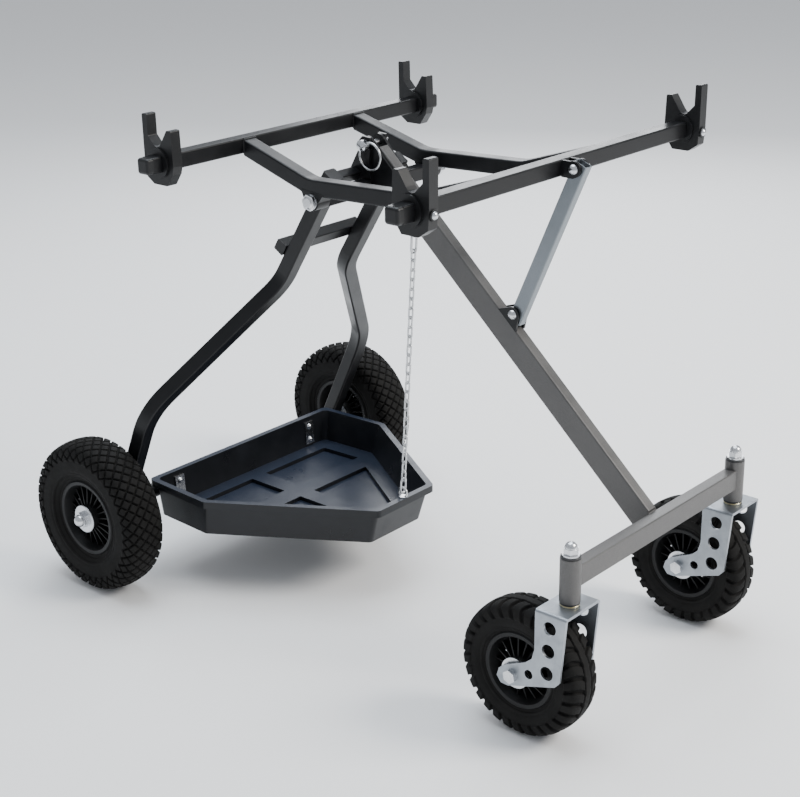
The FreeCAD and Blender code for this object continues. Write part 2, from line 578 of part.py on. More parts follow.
axle_tube = axle_cyl.cut(cyl_x(AXLE_R, AXLE_Y, AXLE_Z, -300, 300))
save("axle_tube", axle_tube)
AX_END = 352.0
save("rear_axle", cyl_x(AXLE_R, AXLE_Y, AXLE_Z, -AX_END, AX_END))
HUB_HALF = 30.0
an = []
for s in (-1, 1):
    a0 = WHEEL_X - HUB_HALF
    sp0, sp1 = sorted((s * AXLE_TUBE_HALF, s * (a0 - 0.3)))
    an.append(cyl_x(11.0, AXLE_Y, AXLE_Z, sp0, sp1).cut(cyl_x(AXLE_R, AXLE_Y, AXLE_Z, -400, 400)))
    w0, w1 = sorted((s * (WHEEL_X + HUB_HALF + 0.3), s * (WHEEL_X + HUB_HALF + 2.8)))
    disc = cyl_x(24.0, AXLE_Y, AXLE_Z, w0, w1)
    disc = round_edges(disc, 1.6, lambda e: abs(e.CenterOfMass.x - s * (WHEEL_X + HUB_HALF + 2.8)) < 0.01)
    an.append(disc.cut(cyl_x(AXLE_R, AXLE_Y, AXLE_Z, -400, 400)))
    n0 = s * (WHEEL_X + HUB_HALF + 2.8)
    hx = hexagon(24.0, P3(n0, AXLE_Y, AXLE_Z), V(s, 0, 0), 8.0, V(0, 0.2, 1))
    hx = hx.fuse(dome(10.5, 9.5, P3(n0 + s * 8.0, AXLE_Y, AXLE_Z), V(s, 0, 0)))
    an.append(one(hx.cut(cyl_x(AXLE_R, AXLE_Y, AXLE_Z, -AX_END, AX_END))))
save("axle_nuts", an)

# ---------------------------------------------------------------------------
# Rear wheels
# ---------------------------------------------------------------------------
RB, RBX = 62.0, 27.0       # bead radius and half width
for nm, s in (("left", -1), ("right", 1)):
    x = s * WHEEL_X
    save("rear_tyre_" + nm, tyre(x, AXLE_Y, AXLE_Z, WHEEL_R, WHEEL_HALF_W, RB, RBX))
    rim = [(-RBX, 54), (-RBX, RB), (RBX, RB), (RBX, 54), (24, 52), (10, 50), (6, 46), (6, 26), (10, 22), (HUB_HALF, 21), (HUB_HALF, 16),
           (HUB_HALF - 9, 16), (HUB_HALF - 9, 12), (-HUB_HALF + 9, 12), (-HUB_HALF + 9, 16), (-HUB_HALF, 16), (-HUB_HALF, 21), (-10, 22), (-6, 26), (-6, 46), (-10, 50), (-24, 52)]
    rs = revolve_x(rim, x, AXLE_Y, AXLE_Z)
    # stiffening ribs on both sides of the web
    for k in range(10):
        for sx in (-1, 1):
            r0, r1 = sorted((x + sx * 5.5, x + sx * 21.0))
            rb = Part.makeBox(r1 - r0, 3.0, 28.0, P3(r0, AXLE_Y - 1.5, AXLE_Z + 23.0))
            rb.rotate(P3(x, AXLE_Y, AXLE_Z), XD, 36.0 * k)
            rs = rs.fuse(rb)
    rs = one(rs)
    save("rear_rim_" + nm, rs)
    br = []
    for sx in (-1, 1):
        b0, b1 = sorted((x + sx * (HUB_HALF - 9), x + sx * HUB_HALF))
        br.append(cyl_x(16.0, AXLE_Y, AXLE_Z, b0, b1).cut(cyl_x(AXLE_R + 0.05, AXLE_Y, AXLE_Z, -400, 400)))
    save("rear_bearings_" + nm, br)

# ---------------------------------------------------------------------------
# Tray
# ---------------------------------------------------------------------------
def inset(poly, d):
    """Parallel inset of a closed convex polygon; d is one distance or one per side."""
    n = len(poly)
    if not isinstance(d, (list, tuple)):
        d = [d] * n
    cx = sum(p[0] for p in poly) / n
    cy = sum(p[1] for p in poly) / n
    lines = []
    for i in range(n):
        a, b = poly[i], poly[(i + 1) % n]
        dx, dy = b[0] - a[0], b[1] - a[1]
        L = math.hypot(dx, dy)
        nx, ny = -dy / L, dx / L
        if nx * (cx - a[0]) + ny * (cy - a[1]) < 0:
            nx, ny = -nx, -ny
        lines.append((nx, ny, nx * a[0] + ny * a[1] + d[i]))
    out = []
    for i in range(n):
        l1, l2 = lines[i - 1], lines[i]
        det = l1[0] * l2[1] - l1[1] * l2[0]
        out.append(((l1[2] * l2[1] - l1[1] * l2[2]) / det, (l1[0] * l2[2] - l1[2] * l2[0]) / det))
    return out


def poly_xy(poly, z, r=10.0):
    """Closed wire of the polygon at height z with every corner rounded to radius r."""
    n = len(poly)
    edges, last, first = [], None, None
    for i in range(n):
        p, a, b = P3(poly[i][0], poly[i][1], z), P3(*poly[i - 1], z), P3(*poly[(i + 1) % n], z)
        u, w = a - p, b - p
        u.normalize()
        w.normalize()
        turn = math.pi - u.getAngle(w)
        t = r * math.tan(turn / 2)
        s, e = p + u * t, p + w * t
        bis = u + w
        bis.normalize()
        m = p + bis * (r / math.cos(turn / 2) - r)
        if last is not None:
            edges.append(Part.makeLine(last, s))
        else:
            first = s
        edges.append(Part.Arc(s, m, e).toShape())
        last = e
    edges.append(Part.makeLine(last, first))
    return Part.Wire(edges)


def frustum(p_low, z0, p_high, z1):
    return Part.makeLoft([poly_xy(p_low, z0), poly_xy(p_high, z1)], True, True)


rim_o = TRAY_RIM
body_top = inset(rim_o, 7.0)
body_bot = inset(rim_o, [14.0, 20.0, 26.0, 20.0, 14.0, 10.0])    # left, slant, front, slant, right, rear
cav_top = inset(rim_o, 10.5)
cav_bot = inset(rim_o, [17.5, 23.5, 29.5, 23.5, 17.5, 13.5])
RIB_TOP = TRAY_FLOOR_Z + 10.0
tray = frustum(body_bot, TRAY_FLOOR_Z, body_top, TRAY_RIM_Z - 4.0)
tray = tray.fuse(Part.Face(poly_xy(rim_o, TRAY_RIM_Z - 12.0)).extrude(V(0, 0, 12.0)))
cav = frustum(cav_bot, RIB_TOP, cav_top, TRAY_RIM_Z + 0.01)
tray = tray.cut(cav)
# sunk floor panels, separated by a raised border and a cross
panel = inset(rim_o, [50.0, 52.0, 55.0, 52.0, 50.0, 42.0])
CROSS_Y = 338.0
pan_solid = Part.Face(poly_xy(panel, TRAY_FLOOR_Z + 3.0, 5.0)).extrude(V(0, 0, 30.0))
cross = box(-17, 17, 0, 600, 90, 140).fuse(box(-300, 300, CROSS_Y - 19.5, CROSS_Y + 19.5, 90, 140))
pan_solid = pan_solid.cut(cross)
tray = tray.cut(pan_solid)
# underside relief so that the floor keeps an even thickness below the raised parts
tray = one(tray)

TS_X = 160.0
# the rear wall leans: inner face y at the top and at the cavity floor
y_top = max(p[1] for p in cav_top)
y_bot = max(p[1] for p in cav_bot)
yo_top = max(p[1] for p in body_top)
yo_bot = max(p[1] for p in body_bot)


def in_y(z):
    return y_bot + (y_top - y_bot) * (z - RIB_TOP) / (TRAY_RIM_Z - RIB_TOP)


def out_y(z):
    return yo_bot + (yo_top - yo_bot) * (z - TRAY_FLOOR_Z) / (TRAY_RIM_Z - 4.0 - TRAY_FLOOR_Z)


strips, clamps, tbolts = [], [], []
tray_skin = frustum(body_bot, TRAY_FLOOR_Z, body_top, TRAY_RIM_Z - 4.0).fuse(Part.Face(poly_xy(rim_o, TRAY_RIM_Z - 12.0)).extrude(V(0, 0, 12.0)))
for s in (-1, 1):
    za, zb = 114.0, 156.0
    strips.append(poly_yz([(in_y(za), za), (in_y(zb), zb), (in_y(zb) - 2.5, zb), (in_y(za) - 2.5, za)], s * TS_X - 10, s * TS_X + 10))
    x0, x1 = s * TS_X - 11, s * TS_X + 11
    c = poly_yz([(out_y(110.0), 110.0), (out_y(150.0), 150.0), (AXLE_Y, 150.0), (AXLE_Y + 14, 140), (AXLE_Y + 18.5, AXLE_Z), (AXLE_Y + 14, 119), (AXLE_Y, 110.0)], x0, x1)
    c = c.cut(tray_skin).cut(cyl_x(AXLE_TUBE_R + 0.3, AXLE_Y, AXLE_Z, -300, 300))
    clamps.append(one(c))
    for z in (122.0, 147.0):
        yh = in_y(z) - 2.5
        st = Part.makeCylinder(2.5, 14.0 if z > 130 else 12.0, P3(s * TS_X, yh, z), V(0, 1, 0))
        hd = dome(6.0, 4.2, P3(s * TS_X, yh, z), V(0, -1, 0))
        tbolts.append(one(st.fuse(hd)))
clamps = [one(c.cut(Part.makeCompound(tbolts))) for c in clamps]
strips = [one(c.cut(Part.makeCompound(tbolts)).cut(tray)) for c in strips]
tray = one(tray.cut(Part.makeCompound(tbolts)))

# eye bolt on the front rim
EY, EZ = CHAIN_END
ring = Part.makeTorus(8.5, 2.0, P3(0, EY, EZ), XD).cut(box(-20, 20, EY - 20, EY + 20, TRAY_RIM_Z - 20, TRAY_RIM_Z))
shank = cyl_z(2.5, 0, EY, TRAY_RIM_Z - 24.0, EZ - 8.0)
plate_w = cyl_z(7.0, 0, EY, TRAY_RIM_Z, TRAY_RIM_Z + 1.5)
eye = ring.fuse(shank).fuse(plate_w)
eye = eye.cut(cyl_z(20, 0, EY, TRAY_RIM_Z - 60, TRAY_RIM_Z - 13.0))
eye = one(eye)
tray = one(tray.cut(cyl_z(2.5, 0, EY, TRAY_RIM_Z - 13.0, TRAY_RIM_Z + 5)))
save("tray_pan", tray)
save("tray_fixings", strips + tbolts)
save("tray_clamps", clamps)
save("tray_eye", eye)

# ---------------------------------------------------------------------------
# Chain: real links along the straight line between its two ends
# ---------------------------------------------------------------------------
def link(center, axis, wide, inner_len, inner_w, wire):
    """Oval link centred on center, long along axis, wide along the unit vector wide."""
    rr = inner_w / 2.0 + wire
    hl = inner_len / 2.0 + wire - rr
    a, b = V(axis), V(wide)
    p = [center + a * hl + b * rr, center + a * (hl + rr), center + a * hl - b * rr,
         center - a * hl - b * rr, center - a * (hl + rr), center - a * hl + b * rr]
    w = Part.Wire([Part.makeLine(p[5], p[0]), Part.Arc(p[0], p[1], p[2]).toShape(), Part.makeLine(p[2], p[3]), Part.Arc(p[3], p[4], p[5]).toShape()])
    prof = Part.Wire([Part.makeCircle(wire, p[5], a)])
    return w.makePipeShell([prof], True, False)


top, end = P3(0, *CHAIN_TOP), P3(0, *CHAIN_END)
d = end - top
total = d.Length
d.normalize()
nrm = d.cross(XD)
nrm.normalize()
QL_IN, QL_W, QL_R = 27.0, 7.6, 2.0        # long snap link at the top
BL_IN, BL_W, BL_R = 22.0, 8.0, 1.8        # shackle at the bottom
ql_start = top + d * (5.0 - QL_R - 0.35)   # wire centre rests low in the tab's hole
# the link's inner length runs between the inner faces of its two end arcs
ql_c = ql_start + d * (QL_R + QL_IN / 2.0)
quick = link(ql_c, d, XD, QL_IN, QL_W, QL_R)
bl_end = end
bl_c = bl_end - d * (BL_R + BL_IN / 2.0)
shack = link(bl_c, d, XD, BL_IN, BL_W, BL_R)
# chain links between them
a0 = ql_c + d * (QL_IN / 2.0)              # inner face of the snap's lower arc
b0 = bl_c - d * (BL_IN / 2.0)
span = (b0 - a0).Length
n_links = int(round((span + 2 * CHAIN_WIRE) / CHAIN_PITCH))
if n_links % 2 == 0:
    n_links -= 1
pitch = (span + 2 * CHAIN_WIRE) / n_links
links = []
for i in range(n_links):
    c = a0 + d * (pitch * (i + 0.5) - CHAIN_WIRE)
    wide = nrm if i % 2 == 0 else XD
    links.append((c, wide))
print("chain: length %.1f, %d links, pitch %.2f, span %.1f" % (total, n_links, pitch, span))
ls = [link(c, d, w, pitch + 0.6, CHAIN_W - 4 * CHAIN_WIRE, CHAIN_WIRE) for c, w in links]
save("chain_links", ls)
save("chain_end_links", [quick, shack])

# ---------------------------------------------------------------------------
# Lock pin and its ring
# ---------------------------------------------------------------------------
ly, lz = LOCK_PIN
RING_R, RING_W = 21.0, 1.6
rdir = V(0, -0.69, -0.724)
rdir.normalize()
tang = V(0, rdir.z, -rdir.y)
pin = cyl_x(5.0, ly, lz, -21.6, 25.0)
tipc = Part.makeCone(5.0, 3.2, 3.0, P3(25.0, ly, lz), XD)
hd = cyl_x(9.0, ly, lz, -30.5, -21.0).fuse(dome(9.0, 4.0, P3(-30.5, ly, lz), V(-1, 0, 0)))
hole = Part.makeCylinder(3.9, 40.0, P3(-25.8, ly, lz) - tang * 20.0, tang)
pin = one(pin.fuse(tipc).fuse(hd).cut(hole))
save("lock_pin", pin)
ring_c = P3(-25.8, ly, lz) + rdir * RING_R
save("pin_ring", Part.makeTorus(RING_R, RING_W, ring_c, XD))

# ---------------------------------------------------------------------------
# Casters
# ---------------------------------------------------------------------------
CB, CBX, CT_HALF, CHUB = 56.0, 24.0, 31.0, 30.0
fork_poly = [(-361.0, FORK_TOP), (-412.7, FORK_TOP), (-403.7, 119.3), (-395.4, 110.3), (-354.2, 96.6), (-316.0, 84.0),
             (-304.0, 84.5), (-296.5, 93.9), (-300.0, 106.0), (-307.4, 113.4), (-346.0, 131.5), (-356.5, 141.0), (-361.0, 157.4)]
for nm, s in (("left", -1), ("right", 1)):
    cx = s * KING_X
    f = box(cx - FORK_HALF, cx + FORK_HALF, -412.7, -361.0, FORK_TOP - FORK_T, FORK_TOP)
    for sx in (-1, 1):
        x0, x1 = sorted((cx + sx * FORK_HALF, cx + sx * (FORK_HALF - FORK_T)))
        pl = poly_yz(fork_poly, x0, x1)
        for hy, hz, hr in ((-385.5, 197.0, 10.5), (-383.8, 162.0, 10.5), (-382.0, 127.0, 10.5), (-351.5, 114.5, 7.0)):
            pl = pl.cut(cyl_x(hr, hy, hz, x0 - 1, x1 + 1))
        pl = pl.cut(cyl_x(6.0, CAST_Y, CAST_R, x0 - 1, x1 + 1))
        f = f.fuse(pl)
    f = f.cut(cyl_z(6.0, cx, KING_Y, 150, 260))
    f = one(f)

    def bend_edge(e):
        if len(e.Vertexes) < 2:
            return False
        a, b = e.Vertexes[0].Point, e.Vertexes[1].Point
        dd = b - a
        return dd.Length > 40 and abs(dd.y) / dd.Length > 0.999 and abs(a.z - FORK_TOP) < 0.01 and abs(abs(a.x - cx) - FORK_HALF) < 0.01
    f = round_edges(f, 5.0, bend_edge)
    save("fork_" + nm, f)
    kp = cyl_z(6.0, cx, KING_Y, FORK_TOP - FORK_T - 0.0, 303.0)
    kp = kp.fuse(hexagon(18.0, P3(cx, KING_Y, FORK_TOP - FORK_T - 6.5), ZD, 6.5, YD))
    washer_low = cyl_z(13.0, cx, KING_Y, FORK_TOP, SLEEVE_Z0 - 3.25).cut(cyl_z(6.0, cx, KING_Y, 200, 300))
    washer_top = cyl_z(12.5, cx, KING_Y, SLEEVE_Z1 + 3.25, SLEEVE_Z1 + 5.8).cut(cyl_z(6.0, cx, KING_Y, 200, 310))
    zt = SLEEVE_Z1 + 5.8
    ac = hexagon(19.0, P3(cx, KING_Y, zt), ZD, 8.5, YD)
    ac = ac.fuse(dome(9.0, 9.0, P3(cx, KING_Y, zt + 8.5), ZD)).fuse(cyl_z(9.0, cx, KING_Y, zt + 8.0, zt + 8.6))
    ac = one(ac.cut(cyl_z(6.0, cx, KING_Y, 200, 303.0)))
    save("kingpin_" + nm, [one(kp), washer_low, washer_top, ac])
    # wheel axle: bolt, nut and the two large hub washers
    o0 = FORK_HALF
    ax = cyl_x(6.0, CAST_Y, CAST_R, cx - o0, cx + o0 + 12.0)
    ax = ax.fuse(hexagon(18.0, P3(cx - o0, CAST_Y, CAST_R), V(-1, 0, 0), 7.5, V(0, 1, 0.4)))
    nt = hexagon(18.0, P3(cx + o0, CAST_Y, CAST_R), XD, 10.0, V(0, 1, 0.4)).cut(cyl_x(6.0, CAST_Y, CAST_R, cx, cx + 100))
    wa = []
    for sx in (-1, 1):
        x0, x1 = sorted((cx + sx * (CHUB + 0.4), cx + sx * (FORK_HALF - FORK_T)))
        d0, d1 = sorted((cx + sx * (CHUB + 0.4), cx + sx * (CHUB + 3.0)))
        w = cyl_x(10.0, CAST_Y, CAST_R, x0, x1).fuse(cyl_x(23.0, CAST_Y, CAST_R, d0, d1))
        wa.append(one(w.cut(cyl_x(6.0, CAST_Y, CAST_R, cx - 100, cx + 100))))
    save("caster_axle_" + nm, [one(ax), nt] + wa)
    save("front_tyre_" + nm, tyre(cx, CAST_Y, CAST_R, CAST_R, CT_HALF, CB, CBX))
    rim = [(-CBX, 49), (-CBX, CB), (CBX, CB), (CBX, 49), (20, 47), (8, 45), (5, 42), (5, 24), (8, 20), (CHUB, 19), (CHUB, 14),
           (CHUB - 8, 14), (CHUB - 8, 9), (-CHUB + 8, 9), (-CHUB + 8, 14), (-CHUB, 14), (-CHUB, 19), (-8, 20), (-5, 24), (-5, 42), (-8, 45), (-20, 47)]
    rs = revolve_x(rim, cx, CAST_Y, CAST_R)
    for k in range(10):
        for sx in (-1, 1):
            r0, r1 = sorted((cx + sx * 4.5, cx + sx * 17.0))
            rb = Part.makeBox(r1 - r0, 2.6, 26.0, P3(r0, CAST_Y - 1.3, CAST_R + 20.5))
            rb.rotate(P3(cx, CAST_Y, CAST_R), XD, 36.0 * k)
            rs = rs.fuse(rb)
    rs = one(rs)
    save("front_rim_" + nm, rs)
    br = []
    for sx in (-1, 1):
        b0_, b1_ = sorted((cx + sx * (CHUB - 8), cx + sx * CHUB))
        br.append(cyl_x(14.0, CAST_Y, CAST_R, b0_, b1_).cut(cyl_x(6.05, CAST_Y, CAST_R, cx - 100, cx + 100)))
    save("front_bearings_" + nm, br)
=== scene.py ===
import bpy
import math
import numpy as np
from mathutils import Vector, Matrix


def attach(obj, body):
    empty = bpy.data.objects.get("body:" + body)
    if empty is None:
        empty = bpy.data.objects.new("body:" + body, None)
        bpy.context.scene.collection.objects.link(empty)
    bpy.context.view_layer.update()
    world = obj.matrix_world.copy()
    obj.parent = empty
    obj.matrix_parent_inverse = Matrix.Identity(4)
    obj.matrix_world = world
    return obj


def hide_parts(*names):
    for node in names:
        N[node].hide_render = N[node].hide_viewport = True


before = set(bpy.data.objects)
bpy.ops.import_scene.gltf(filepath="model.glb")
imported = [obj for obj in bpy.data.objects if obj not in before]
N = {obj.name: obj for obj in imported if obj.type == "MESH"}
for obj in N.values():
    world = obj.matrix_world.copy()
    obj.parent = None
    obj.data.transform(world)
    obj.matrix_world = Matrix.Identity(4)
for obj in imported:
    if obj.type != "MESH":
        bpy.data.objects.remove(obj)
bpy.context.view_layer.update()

YS = 0.1026


# ---------------------------------------------------------------- materials
def srgb(v):
    return tuple(((c / 12.92) if c <= 0.04045 else ((c + 0.055) / 1.055) ** 2.4) for c in v)


class G:
    """Small helper that builds a node graph."""

    def __init__(self, name):
        self.m = bpy.data.materials.new(name)
        self.m.use_nodes = True
        self.t = self.m.node_tree
        self.t.nodes.clear()
        self.out = self.n("ShaderNodeOutputMaterial")
        self.b = self.n("ShaderNodeBsdfPrincipled")
        self.t.links.new(self.b.outputs["BSDF"], self.out.inputs["Surface"])
        self.co = self.n("ShaderNodeTexCoord").outputs["Object"]

    def n(self, kind, **kw):
        x = self.t.nodes.new(kind)
        for k, v in kw.items():
            setattr(x, k, v)
        return x

    def put(self, sock, v):
        if hasattr(v, "links") or isinstance(v, bpy.types.NodeSocket):
            self.t.links.new(v, sock)
        else:
            if hasattr(sock.default_value, "__len__") and not hasattr(v, "__len__"):
                v = [v] * len(sock.default_value)
            if hasattr(sock.default_value, "__len__") and len(sock.default_value) == 4 and len(v) == 3:
                v = list(v) + [1.0]
            sock.default_value = v

    def noise(self, scale, detail=4.0, rough=0.55, dist=0.0, co=None, stretch=None):
        x = self.n("ShaderNodeTexNoise")
        v = co or self.co
        if stretch:
            mp = self.n("ShaderNodeMapping")
            self.put(mp.inputs["Vector"], v)
            mp.inputs["Scale"].default_value = stretch
            v = mp.outputs["Vector"]
        self.put(x.inputs["Vector"], v)
        x.inputs["Scale"].default_value = scale
        x.inputs["Detail"].default_value = detail
        x.inputs["Roughness"].default_value = rough
        x.inputs["Distortion"].default_value = dist
        return x.outputs["Fac"]

    def voronoi(self, scale, feature="F1"):
        x = self.n("ShaderNodeTexVoronoi", feature=feature)
        self.put(x.inputs["Vector"], self.co)
        x.inputs["Scale"].default_value = scale
        return x.outputs["Distance"]

    def rng(self, v, a, b, c, d, smooth=False):
        x = self.n("ShaderNodeMapRange")
        if smooth:
            x.interpolation_type = "SMOOTHSTEP"
        self.put(x.inputs["Value"], v)
        for k, q in zip(("From Min", "From Max", "To Min", "To Max"), (a, b, c, d)):
            self.put(x.inputs[k], q)
        return x.outputs["Result"]

    def math(self, op, a, b=None):
        x = self.n("ShaderNodeMath", operation=op)
        self.put(x.inputs[0], a)
        if b is not None:
            self.put(x.inputs[1], b)
        return x.outputs[0]

    def mix(self, f, a, b):
        x = self.n("ShaderNodeMix", data_type="RGBA")
        self.put(x.inputs["Factor"], f)
        self.put(x.inputs[6], a)
        self.put(x.inputs[7], b)
        return x.outputs[2]

    def edge(self, radius=0.0012, samples=4):
        """1 on convex and concave edges, 0 on flats."""
        bv = self.n("ShaderNodeBevel", samples=samples)
        bv.inputs["Radius"].default_value = radius
        geo = self.n("ShaderNodeNewGeometry")
        d = self.n("ShaderNodeVectorMath", operation="DOT_PRODUCT")
        self.put(d.inputs[0], bv.outputs["Normal"])
        self.put(d.inputs[1], geo.outputs["Normal"])
        return self.rng(d.outputs["Value"], 0.995, 0.85, 0.0, 1.0, True)

    def bump(self, h, strength, dist, normal=None):
        x = self.n("ShaderNodeBump")
        self.put(x.inputs["Height"], h)
        x.inputs["Strength"].default_value = strength
        x.inputs["Distance"].default_value = dist
        if normal is not None:
            self.put(x.inputs["Normal"], normal)
        return x.outputs["Normal"]

    def up(self, lo=0.35, hi=0.9):
        """How much a face looks at the sky: the mask for a painted sky reflection on up-facing faces."""
        geo = self.n("ShaderNodeNewGeometry")
        s = self.n("ShaderNodeSeparateXYZ")
        self.put(s.inputs[0], geo.outputs["Normal"])
        return self.rng(s.outputs["Z"], lo, hi, 0.0, 1.0, True)

    def done(self, color, rough, metallic=0.0, normal=None, spec=0.5, coat=0.0, coat_rough=0.2):
        b = self.b
        self.put(b.inputs["Base Color"], color)
        self.put(b.inputs["Roughness"], rough)
        b.inputs["Metallic"].default_value = metallic
        b.inputs["Specular IOR Level"].default_value = spec
        b.inputs["Coat Weight"].default_value = coat
        b.inputs["Coat Roughness"].default_value = coat_rough
        if normal is not None:
            self.put(b.inputs["Normal"], normal)
        return self.m


def powder(name, dark, light, wear, rough=(0.28, 0.46), peel=900.0, metallic=0.0, spec=0.5, wear_amt=0.5, coat=0.0, fleck=0.0):
    g = G(name)
    big = g.noise(14.0, 5.0, 0.6)
    fine = g.noise(peel, 2.0, 0.5)
    col = g.mix(g.rng(big, 0.3, 0.7, 0.0, 1.0), dark, light)
    if fleck:
        fl = g.noise(2600.0, 1.0, 0.4)
        col = g.mix(g.math("MULTIPLY", g.rng(fl, 0.52, 0.72, 0.0, 1.0), fleck), col, tuple(min(1.0, c * 2.4) for c in light))
    e = g.edge(0.0011)
    spots = g.noise(160.0, 4.0, 0.7)
    w = g.math("MULTIPLY", e, g.rng(spots, 0.48, 0.72, 0.0, wear_amt))
    col = g.mix(w, col, wear)
    scratch = g.noise(60.0, 6.0, 0.75, stretch=(1.0, 9.0, 1.0))
    r = g.math("ADD", g.rng(big, 0.3, 0.7, rough[0], rough[1]), g.rng(scratch, 0.55, 0.8, 0.0, 0.08))
    nrm = g.bump(fine, 0.16, 0.0004)
    nrm = g.bump(big, 0.08, 0.002, nrm)
    return g.done(col, r, metallic, nrm, spec, coat, 0.25)


def zinc(name, tint=(0.62, 0.64, 0.66), dark=(0.36, 0.38, 0.40), rough=(0.22, 0.40), yellow=0.0, spot=0.55, relief=1.0):
    g = G(name)
    span = g.noise(45.0, 5.0, 0.65)
    brush = g.noise(420.0, 3.0, 0.6, stretch=(1.0, 1.0, 0.12))
    spots = g.noise(260.0, 4.0, 0.7)
    e = g.edge(0.0009)
    col = g.mix(g.rng(span, 0.32, 0.68, 0.0, 1.0), tint, tuple(c * 0.86 for c in tint))
    col = g.mix(g.rng(spots, 0.60, 0.80, 0.0, spot), col, dark)
    if yellow:
        col = g.mix(g.rng(span, 0.45, 0.62, 0.0, yellow), col, (0.62, 0.50, 0.20))
    col = g.mix(g.math("MULTIPLY", e, 0.5), col, (0.80, 0.81, 0.83))
    r = g.math("ADD", g.rng(span, 0.3, 0.7, rough[0], rough[1]), g.rng(brush, 0.4, 0.7, 0.0, 0.10))
    nrm = g.bump(brush, 0.10 * relief, 0.0004)
    nrm = g.bump(spots, 0.06 * relief, 0.0006, nrm)
    return g.done(col, r, 1.0, nrm)


def plastic(name, dark, light, rough=(0.36, 0.55), grain=1500.0, g_amt=0.22, wear=(0.10, 0.10, 0.105), wear_amt=0.5, spec=0.5, painted_sky_reflection=0.0):
    g = G(name)
    big = g.noise(18.0, 5.0, 0.6)
    gr = g.noise(grain, 2.0, 0.5)
    vor = g.voronoi(grain * 0.8)
    scuff = g.noise(75.0, 7.0, 0.78)
    e = g.edge(0.0010)
    col = g.mix(g.rng(big, 0.3, 0.7, 0.0, 1.0), dark, light)
    col = g.mix(g.rng(scuff, 0.60, 0.82, 0.0, 0.35), col, wear)
    col = g.mix(g.math("MULTIPLY", e, g.rng(scuff, 0.42, 0.66, 0.0, wear_amt)), col, wear)
    r = g.math("ADD", g.rng(big, 0.3, 0.7, rough[0], rough[1]), g.rng(scuff, 0.55, 0.8, 0.0, 0.12))
    nrm = g.bump(gr, g_amt, 0.0004)
    nrm = g.bump(vor, g_amt * 0.5, 0.0003, nrm)
    nrm = g.bump(scuff, 0.015, 0.001, nrm)
    # painted sky reflection: up-facing faces are tinted blue, as if reflecting the sky, by the given strength
    if painted_sky_reflection:
        col = g.mix(g.math("MULTIPLY", g.up(0.35, 0.95), painted_sky_reflection), col, (0.040, 0.062, 0.115))
    return g.done(col, r, 0.0, nrm, spec)


def rubber(name, dark, light, dust, dust_amt=0.35):
    g = G(name)
    big = g.noise(22.0, 5.0, 0.65)
    fine = g.noise(1300.0, 3.0, 0.6)
    grit = g.noise(240.0, 5.0, 0.75)
    col = g.mix(g.rng(big, 0.3, 0.7, 0.0, 1.0), dark, light)
    e = g.edge(0.0014)
    col = g.mix(g.math("MULTIPLY", g.rng(grit, 0.45, 0.75, 0.0, dust_amt), g.rng(big, 0.35, 0.65, 0.4, 1.0)), col, dust)
    col = g.mix(g.math("MULTIPLY", e, 0.22), col, tuple(c * 1.6 for c in light))
    r = g.rng(grit, 0.3, 0.75, 0.62, 0.86)
    nrm = g.bump(fine, 0.25, 0.0005)
    nrm = g.bump(grit, 0.15, 0.0008, nrm)
    return g.done(col, r, 0.0, nrm, 0.14)


M_BLACK = powder("paint_black", (0.0035, 0.0036, 0.0042), (0.0075, 0.0078, 0.0090), (0.08, 0.08, 0.085), (0.28, 0.42), spec=0.30, wear_amt=0.45)
M_GREY = powder("paint_grey", (0.072, 0.070, 0.069), (0.105, 0.102, 0.100), (0.34, 0.34, 0.35), (0.34, 0.48), metallic=0.55, fleck=0.55, wear_amt=0.6)
M_SILVER = powder("paint_silver", (0.17, 0.19, 0.205), (0.23, 0.25, 0.27), (0.62, 0.63, 0.64), (0.32, 0.46), metallic=0.85, fleck=0.25, wear_amt=0.5)
M_ZINC = zinc("zinc_bright")
M_FORK = zinc("zinc_fork", (0.36, 0.385, 0.415), (0.24, 0.26, 0.29), (0.34, 0.50), relief=0.6)
M_BOLT = zinc("zinc_bolt", (0.70, 0.71, 0.73), (0.42, 0.43, 0.45), (0.16, 0.30), spot=0.3, relief=0.35)
M_WASH = zinc("zinc_yellow", (0.66, 0.62, 0.46), (0.40, 0.36, 0.22), (0.2, 0.34), yellow=0.7)
M_CHAIN = zinc("zinc_chain", (0.66, 0.67, 0.68), (0.34, 0.35, 0.36), (0.18, 0.34))
M_PLAST = plastic("plastic_black", (0.0045, 0.0047, 0.0052), (0.0090, 0.0093, 0.0102), (0.30, 0.44), wear=(0.05, 0.05, 0.052), spec=0.38)
# the tray's last argument (0.24) sets the strength of its painted blue sky reflection on up-facing faces
M_TRAY = plastic("plastic_tray", (0.0050, 0.0056, 0.0072), (0.0088, 0.0098, 0.0125), (0.26, 0.40), 1100.0, 0.22, (0.018, 0.020, 0.025), 0.30, 0.34, 0.24)
M_RIM = plastic("plastic_rim", (0.0035, 0.0035, 0.0038), (0.0070, 0.0070, 0.0075), (0.38, 0.52), wear=(0.03, 0.03, 0.031), spec=0.25)
M_NYLON = plastic("nylon_black", (0.014, 0.014, 0.015), (0.022, 0.022, 0.024), (0.40, 0.55), wear_amt=0.3)
M_TYRE_R = rubber("rubber_rear", (0.0050, 0.0048, 0.0046), (0.0100, 0.0095, 0.0090), (0.026, 0.024, 0.021), 0.30)
M_TYRE_F = rubber("rubber_front", (0.0050, 0.0048, 0.0046), (0.0100, 0.0096, 0.0091), (0.026, 0.024, 0.021), 0.30)

